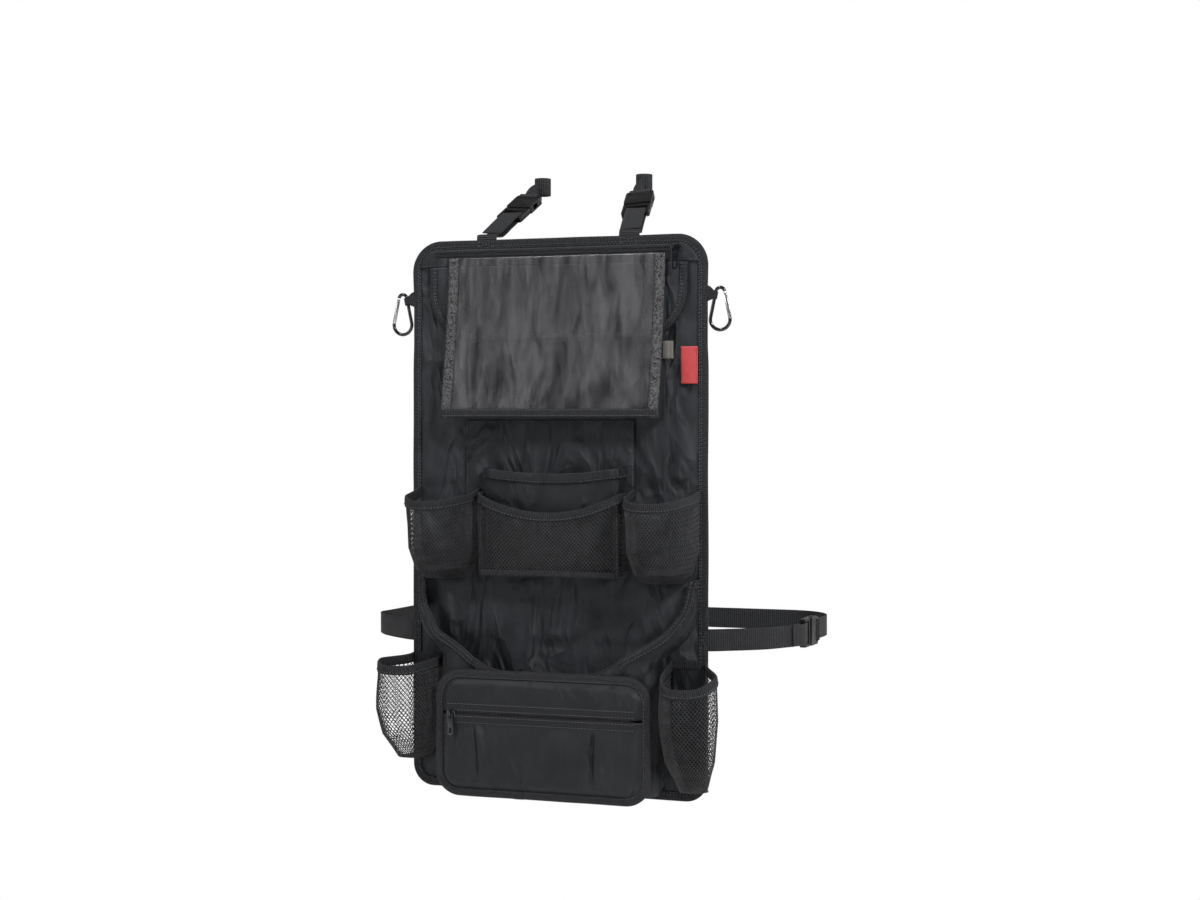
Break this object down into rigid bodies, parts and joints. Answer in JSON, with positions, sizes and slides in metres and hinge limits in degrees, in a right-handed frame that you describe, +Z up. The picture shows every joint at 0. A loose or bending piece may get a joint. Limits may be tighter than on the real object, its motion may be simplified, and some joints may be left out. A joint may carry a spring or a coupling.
{
  "type": "car seat back organizer",
  "caption": "Hanging organizer for the back of a car seat with a clear tablet sleeve, net cup and bottle pockets, a zip pocket and strap buckles.",
  "frame": {"origin": "on the rear face, on its centre line, 20 mm below the top edge", "axes": "+X to the right as seen from the front, +Y to the seat, out of the rear face, +Z up"},
  "size_m": [0.531, 0.3503, 0.7236],
  "materials": {
    "cloth": "woven polyester",
    "binding": "grosgrain tape",
    "netting": "knitted net",
    "webbing": "woven webbing",
    "film": "clear soft film",
    "grey_webbing": "woven webbing",
    "label": "woven label",
    "buckle": "moulded",
    "hook": "gloss",
    "aluminium": "polished"
  },
  "bodies": {
    "panel": {"back_panel": "cloth", "edge_binding": "binding", "header_band": "cloth", "tablet_zip_tape_upper": "binding", "tablet_zip_tape_lower": "binding", "backing_panel": "cloth", "backing_binding": "binding", "sleeve_gusset": "cloth", "sleeve_frame": "binding", "sleeve_window": "film", "sleeve_tab": "grey_webbing", "side_label": "label", "centre_facing": "cloth", "wipes_pocket": "cloth", "wipes_hem": "binding", "centre_mesh_pocket": "netting", "centre_mesh_binding": "binding", "cup_mesh_left": "netting", "cup_binding_left": "binding", "cup_mesh_right": "netting", "cup_binding_right": "binding", "big_pocket": "cloth", "big_pocket_binding": "binding", "zip_pocket_back": "cloth", "zip_pocket_upper_front": "cloth", "zip_pocket_lower_front": "cloth", "zip_pocket_binding": "binding", "pocket_zip_tape_upper": "binding", "pocket_zip_tape_lower": "binding", "bottle_mesh_left": "netting", "bottle_binding_left": "binding", "bottle_mesh_right": "netting", "bottle_binding_right": "binding", "top_strap_left": "webbing", "top_buckle_male_left": "buckle", "top_strap_right": "webbing", "top_buckle_male_right": "buckle", "side_strap_right": "webbing", "side_strap_wrap": "webbing", "side_buckle_female": "buckle", "carabiner_loop_left": "binding", "carabiner_loop_right": "binding"},
    "tablet_slider": {"tablet_zip_slider": "buckle"},
    "tablet_pull": {"tablet_zip_pull": "buckle"},
    "pocket_slider": {"pocket_zip_slider": "buckle"},
    "pocket_pull": {"pocket_zip_pull": "buckle"},
    "hook_left": {"carabiner_body_left": "hook"},
    "gate_left": {"carabiner_gate_left": "aluminium", "carabiner_pin_left": "aluminium"},
    "hook_right": {"carabiner_body_right": "hook"},
    "gate_right": {"carabiner_gate_right": "aluminium", "carabiner_pin_right": "aluminium"},
    "upper_buckle_left": {"top_buckle_female_left": "buckle", "post_loop_left": "webbing"},
    "upper_buckle_right": {"top_buckle_female_right": "buckle", "post_loop_right": "webbing"},
    "side_buckle_half": {"side_buckle_male": "buckle"}
  },
  "joints": [
    {"name": "tablet_zip_slide", "type": "slide", "parent": "panel", "child": "tablet_slider", "axis": [-1, 0, 0], "range_m": [0, 0.288]},
    {"name": "tablet_pull_swing", "type": "hinge", "parent": "tablet_slider", "child": "tablet_pull", "pos_m": [0.1455, -0.0128, 0.00375], "axis": [-1, 0, 0], "range_deg": [0, 150]},
    {"name": "pocket_zip_slide", "type": "slide", "parent": "panel", "child": "pocket_slider", "axis": [1, 0, 0], "range_m": [0, 0.21]},
    {"name": "pocket_pull_swing", "type": "hinge", "parent": "pocket_slider", "child": "pocket_pull", "pos_m": [-0.1082, -0.0618, -0.52565], "axis": [-1, 0, 0], "range_deg": [0, 150]},
    {"name": "hook_swing_left", "type": "hinge", "parent": "panel", "child": "hook_left", "pos_m": [-0.19, -0.0023, -0.05], "axis": [-0.2079, 0, 0.9781], "range_deg": [-70, 70]},
    {"name": "hook_gate_left", "type": "hinge", "parent": "hook_left", "child": "gate_left", "pos_m": [-0.20193, -0.0023, -0.04954], "axis": [0, -1, 0], "range_deg": [0, 26], "stiffness_Nm_per_rad": 0.02, "springref_deg": -17.19},
    {"name": "top_buckle_release_left", "type": "slide", "parent": "panel", "child": "upper_buckle_left", "axis": [0.1648, 0.8406, 0.516], "range_m": [0, 0.03]},
    {"name": "hook_swing_right", "type": "hinge", "parent": "panel", "child": "hook_right", "pos_m": [0.19, -0.0023, -0.05], "axis": [0.2079, 0, 0.9781], "range_deg": [-70, 70]},
    {"name": "hook_gate_right", "type": "hinge", "parent": "hook_right", "child": "gate_right", "pos_m": [0.20193, -0.0023, -0.04954], "axis": [0, 1, 0], "range_deg": [0, 26], "stiffness_Nm_per_rad": 0.02, "springref_deg": -17.19},
    {"name": "top_buckle_release_right", "type": "slide", "parent": "panel", "child": "upper_buckle_right", "axis": [-0.1648, 0.8406, 0.516], "range_m": [0, 0.03]},
    {"name": "side_buckle_release", "type": "slide", "parent": "panel", "child": "side_buckle_half", "axis": [0, -1, 0], "range_m": [0, 0.02], "deforming": ["side_strap_right"]}
  ]
}
